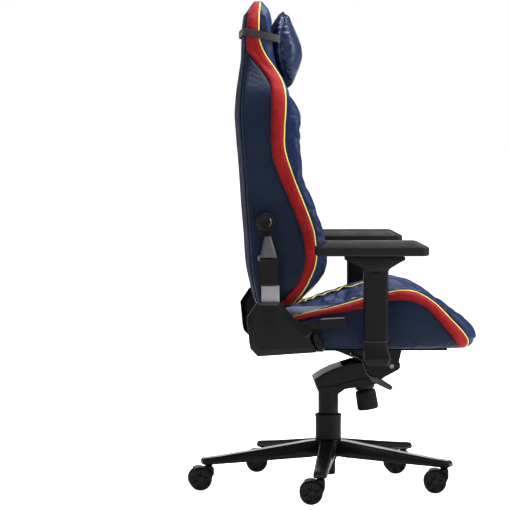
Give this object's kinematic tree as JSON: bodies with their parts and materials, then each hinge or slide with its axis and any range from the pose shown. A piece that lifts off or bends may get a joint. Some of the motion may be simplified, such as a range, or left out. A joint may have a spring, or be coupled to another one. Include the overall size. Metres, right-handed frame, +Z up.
{
  "type": "gaming chair",
  "caption": "High-backed gaming chair with bucket seat, reclining back, head pillow, adjustable armrests, gas lift and a wheeled star base.",
  "frame": {"origin": "on the floor, under the middle of the chair's bounding box", "axes": "+X the way the sitter faces, +Y to the sitter's left, +Z up"},
  "size_m": [0.7473, 0.74, 1.296],
  "materials": {
    "side_leather": "satin",
    "black_metal": "satin",
    "leg_metal": "satin",
    "steel": "satin",
    "black_plastic": "satin",
    "wheel_plastic": "satin",
    "grey_plastic": "satin",
    "pad_rubber": "matte",
    "black_fabric": "matte",
    "strap_webbing": "matte"
  },
  "bodies": {
    "base": {"star_base": "leg_metal", "gas_cylinder": "black_metal", "lower_dust_cover": "black_plastic"},
    "lift": {"gas_piston": "steel", "upper_dust_cover": "black_plastic"},
    "mechanism": {"mech_housing": "black_metal"},
    "seat": {"mech_top_plate": "black_metal", "tilt_pivot_pin": "steel", "seat_base_cover": "black_fabric", "seat_frame": "steel", "seat_cushion": "side_leather", "side_cover_right": "black_plastic", "recliner_plate_right": "steel", "recliner_pin_right": "steel", "arm_bracket_right": "black_metal", "arm_collar_right": "black_plastic", "side_cover_left": "black_plastic", "recliner_plate_left": "steel", "recliner_pin_left": "steel", "arm_bracket_left": "black_metal", "arm_collar_left": "black_plastic"},
    "back": {"back_frame": "steel", "back_cushion": "side_leather", "back_rear_panel": "side_leather", "back_bracket_right": "steel", "upright_trim_right": "grey_plastic", "back_bracket_left": "steel", "upright_trim_left": "grey_plastic"},
    "pillow": {"head_pillow": "side_leather", "pillow_strap": "strap_webbing"},
    "lumbar_dial": {"lumbar_knob": "black_plastic"},
    "lumbar_support": {"lumbar_plate": "black_plastic"},
    "tension_dial": {"tension_knob": "black_plastic"},
    "lift_lever": {"height_lever": "black_metal"},
    "back_lever": {"recline_lever": "grey_plastic"},
    "arm_right": {"arm_sleeve_right": "black_plastic"},
    "arm_catch_right": {"arm_button_right": "grey_plastic"},
    "arm_carriage_right": {"arm_slider_right": "steel"},
    "arm_swivel_right": {"arm_turntable_right": "steel"},
    "arm_rest_right": {"arm_pad_right": "pad_rubber"},
    "arm_left": {"arm_sleeve_left": "black_plastic"},
    "arm_catch_left": {"arm_button_left": "grey_plastic"},
    "arm_carriage_left": {"arm_slider_left": "steel"},
    "arm_swivel_left": {"arm_turntable_left": "steel"},
    "arm_rest_left": {"arm_pad_left": "pad_rubber"},
    "caster_1": {"caster_1_hood": "black_plastic"},
    "caster_1_roller_a": {"caster_1_wheel_a": "wheel_plastic"},
    "caster_1_roller_b": {"caster_1_wheel_b": "wheel_plastic"},
    "caster_2": {"caster_2_hood": "black_plastic"},
    "caster_2_roller_a": {"caster_2_wheel_a": "wheel_plastic"},
    "caster_2_roller_b": {"caster_2_wheel_b": "wheel_plastic"},
    "caster_3": {"caster_3_hood": "black_plastic"},
    "caster_3_roller_a": {"caster_3_wheel_a": "wheel_plastic"},
    "caster_3_roller_b": {"caster_3_wheel_b": "wheel_plastic"},
    "caster_4": {"caster_4_hood": "black_plastic"},
    "caster_4_roller_a": {"caster_4_wheel_a": "wheel_plastic"},
    "caster_4_roller_b": {"caster_4_wheel_b": "wheel_plastic"},
    "caster_5": {"caster_5_hood": "black_plastic"},
    "caster_5_roller_a": {"caster_5_wheel_a": "wheel_plastic"},
    "caster_5_roller_b": {"caster_5_wheel_b": "wheel_plastic"}
  },
  "joints": [
    {"name": "backrest_recline", "type": "hinge", "parent": "seat", "child": "back", "pos_m": [-0.153, 0, 0.448], "axis": [0, -1, 0], "range_deg": [0, 46]},
    {"name": "seat_height", "type": "slide", "parent": "base", "child": "lift", "axis": [0, 0, 1], "range_m": [-0.055, 0.035]},
    {"name": "seat_swivel", "type": "hinge", "parent": "lift", "child": "mechanism", "pos_m": [0.006, 0, 0.2555], "axis": [0, 0, 1], "continuous": true},
    {"name": "seat_tilt", "type": "hinge", "parent": "mechanism", "child": "seat", "pos_m": [0.171, 0, 0.33], "axis": [0, -1, 0], "range_deg": [0, 11]},
    {"name": "recline_lever_pull", "type": "hinge", "parent": "seat", "child": "back_lever", "pos_m": [-0.153, -0.286, 0.448], "axis": [0, -1, 0], "range_deg": [0, 25], "stiffness_Nm_per_rad": 2},
    {"name": "height_lever_pull", "type": "hinge", "parent": "seat", "child": "lift_lever", "pos_m": [0.064, -0.068, 0.366], "axis": [0, -1, 0], "range_deg": [0, 12], "stiffness_Nm_per_rad": 2},
    {"name": "tension_knob_turn", "type": "hinge", "parent": "mechanism", "child": "tension_dial", "pos_m": [0.1095, 0, 0.236], "axis": [-0.1564, 0, 0.9877], "range_deg": [0, 720]},
    {"name": "lumbar_knob_turn", "type": "hinge", "parent": "back", "child": "lumbar_dial", "pos_m": [-0.174, -0.27, 0.725], "axis": [0, -1, 0], "range_deg": [0, 180]},
    {"name": "lumbar_push", "type": "slide", "parent": "back", "child": "lumbar_support", "axis": [1, 0, 0], "range_m": [0, 0.0055]},
    {"name": "pillow_shift", "type": "slide", "parent": "back", "child": "pillow", "axis": [0, 0, 1], "range_m": [-0.02, 0.02]},
    {"name": "arm_height_right", "type": "slide", "parent": "seat", "child": "arm_right", "axis": [0, 0, 1], "range_m": [0, 0.07]},
    {"name": "arm_width_right", "type": "slide", "parent": "arm_right", "child": "arm_carriage_right", "axis": [0, -1, 0], "range_m": [-0.01, 0.015]},
    {"name": "arm_turn_right", "type": "hinge", "parent": "arm_carriage_right", "child": "arm_swivel_right", "pos_m": [0.105, -0.316, 0.65], "axis": [0, 0, -1], "range_deg": [-15, 8]},
    {"name": "arm_depth_right", "type": "slide", "parent": "arm_swivel_right", "child": "arm_rest_right", "axis": [1, 0, 0], "range_m": [-0.025, 0.025]},
    {"name": "arm_button_right_press", "type": "slide", "parent": "arm_right", "child": "arm_catch_right", "axis": [0, 1, 0], "range_m": [0, 0.0018], "stiffness_N_per_m": 400},
    {"name": "arm_height_left", "type": "slide", "parent": "seat", "child": "arm_left", "axis": [0, 0, 1], "range_m": [0, 0.07]},
    {"name": "arm_width_left", "type": "slide", "parent": "arm_left", "child": "arm_carriage_left", "axis": [0, 1, 0], "range_m": [-0.01, 0.015]},
    {"name": "arm_turn_left", "type": "hinge", "parent": "arm_carriage_left", "child": "arm_swivel_left", "pos_m": [0.105, 0.316, 0.65], "axis": [0, 0, 1], "range_deg": [-15, 8]},
    {"name": "arm_depth_left", "type": "slide", "parent": "arm_swivel_left", "child": "arm_rest_left", "axis": [1, 0, 0], "range_m": [-0.014, 0.036]},
    {"name": "arm_button_left_press", "type": "slide", "parent": "arm_left", "child": "arm_catch_left", "axis": [0, -1, 0], "range_m": [0, 0.0018], "stiffness_N_per_m": 400},
    {"name": "caster_1_swivel", "type": "hinge", "parent": "base", "child": "caster_1", "pos_m": [0.30484, -0.13999, 0.06], "axis": [0, 0, 1], "continuous": true},
    {"name": "caster_1_roll_a", "type": "hinge", "parent": "caster_1", "child": "caster_1_roller_a", "pos_m": [0.2809, -0.13831, 0.03], "axis": [-0.0698, -0.9976, 0], "continuous": true},
    {"name": "caster_1_roll_b", "type": "hinge", "parent": "caster_1", "child": "caster_1_roller_b", "pos_m": [0.2809, -0.13831, 0.03], "axis": [-0.0698, -0.9976, 0], "continuous": true},
    {"name": "caster_2_swivel", "type": "hinge", "parent": "base", "child": "caster_2", "pos_m": [0.23148, 0.24095, 0.06], "axis": [0, 0, 1], "continuous": true},
    {"name": "caster_2_roll_a", "type": "hinge", "parent": "caster_2", "child": "caster_2_roller_a", "pos_m": [0.20751, 0.2397, 0.03], "axis": [0.0523, -0.9986, 0], "continuous": true},
    {"name": "caster_2_roll_b", "type": "hinge", "parent": "caster_2", "child": "caster_2_roller_b", "pos_m": [0.20751, 0.2397, 0.03], "axis": [0.0523, -0.9986, 0], "continuous": true},
    {"name": "caster_3_swivel", "type": "hinge", "parent": "base", "child": "caster_3", "pos_m": [-0.15348, 0.2889, 0.06], "axis": [0, 0, 1], "continuous": true},
    {"name": "caster_3_roll_a", "type": "hinge", "parent": "caster_3", "child": "caster_3_roller_a", "pos_m": [-0.17748, 0.2889, 0.03], "axis": [0, -1, 0], "continuous": true},
    {"name": "caster_3_roll_b", "type": "hinge", "parent": "caster_3", "child": "caster_3_roller_b", "pos_m": [-0.17748, 0.2889, 0.03], "axis": [0, -1, 0], "continuous": true},
    {"name": "caster_4_swivel", "type": "hinge", "parent": "base", "child": "caster_4", "pos_m": [-0.31805, -0.0624, 0.06], "axis": [0, 0, 1], "continuous": true},
    {"name": "caster_4_roll_a", "type": "hinge", "parent": "caster_4", "child": "caster_4_roller_a", "pos_m": [-0.34192, -0.06491, 0.03], "axis": [0.1045, -0.9945, 0], "continuous": true},
    {"name": "caster_4_roll_b", "type": "hinge", "parent": "caster_4", "child": "caster_4_roller_b", "pos_m": [-0.34192, -0.06491, 0.03], "axis": [0.1045, -0.9945, 0], "continuous": true},
    {"name": "caster_5_swivel", "type": "hinge", "parent": "base", "child": "caster_5", "pos_m": [-0.03479, -0.32747, 0.06], "axis": [0, 0, 1], "continuous": true},
    {"name": "caster_5_roll_a", "type": "hinge", "parent": "caster_5", "child": "caster_5_roller_a", "pos_m": [-0.05877, -0.32663, 0.03], "axis": [-0.0349, -0.9994, 0], "continuous": true},
    {"name": "caster_5_roll_b", "type": "hinge", "parent": "caster_5", "child": "caster_5_roller_b", "pos_m": [-0.05877, -0.32663, 0.03], "axis": [-0.0349, -0.9994, 0], "continuous": true}
  ],
  "couplings": [
    {"joint": "lumbar_push", "follows": "lumbar_knob_turn", "m_per_rad": 0.00175}
  ]
}
